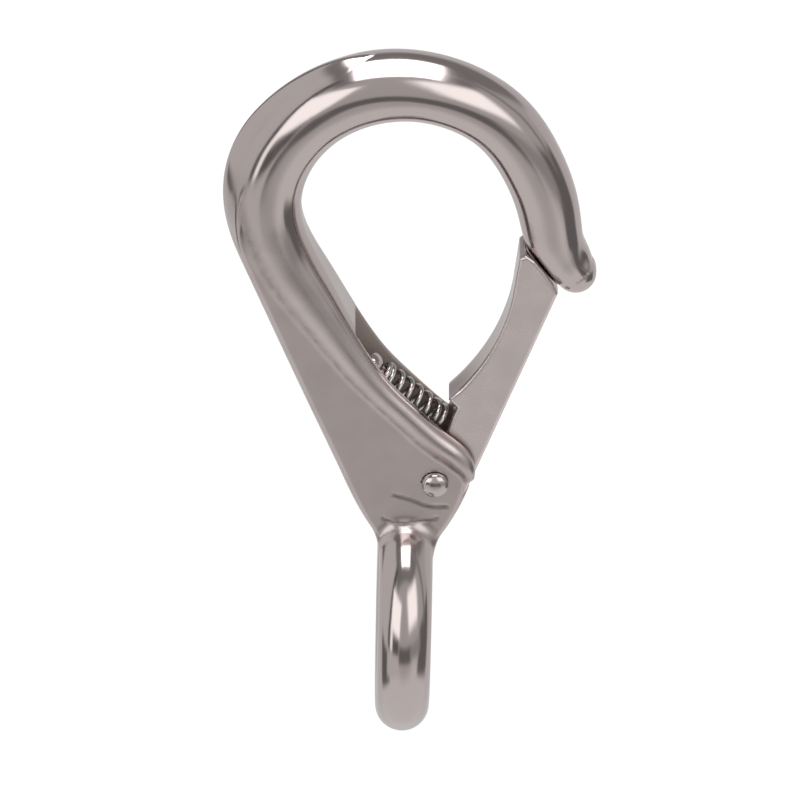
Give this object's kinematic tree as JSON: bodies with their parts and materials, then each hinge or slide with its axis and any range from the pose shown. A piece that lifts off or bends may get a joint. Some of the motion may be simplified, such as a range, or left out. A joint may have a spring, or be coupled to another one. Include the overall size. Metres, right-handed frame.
{
  "type": "snap hook with fixed eye",
  "caption": "Cast stainless boat snap: a round-section hook with a fixed eye, closed by a slim gate that swings inward against a coil spring.",
  "frame": {"origin": "centre of the eye", "axes": "+Z from the eye to the hook's crown, +X towards the gate, Y square to the hook's flat cheeks; the eye ring lies in the YZ plane"},
  "size_m": [0.048, 0.0318, 0.0995],
  "materials": {
    "polished_casting": "mirror polished bar, bead and eye; satin on the flat cheeks",
    "satin_casting": "satin faces with polished edges",
    "spring_wire": "bright drawn wire",
    "rivet_steel": "bright domed head"
  },
  "bodies": {
    "body": {"hook_body": "polished_casting", "pivot_rivet": "rivet_steel", "gate_spring": "spring_wire"},
    "gate": {"gate": "satin_casting"}
  },
  "joints": [
    {"name": "gate_hinge", "type": "hinge", "parent": "body", "child": "gate", "pos_m": [0.004, 0, 0.0216], "axis": [0, -1, 0], "range_deg": [0, 25], "stiffness_Nm_per_rad": 0.16, "springref_deg": -31.51, "deforming": ["gate_spring"]}
  ]
}
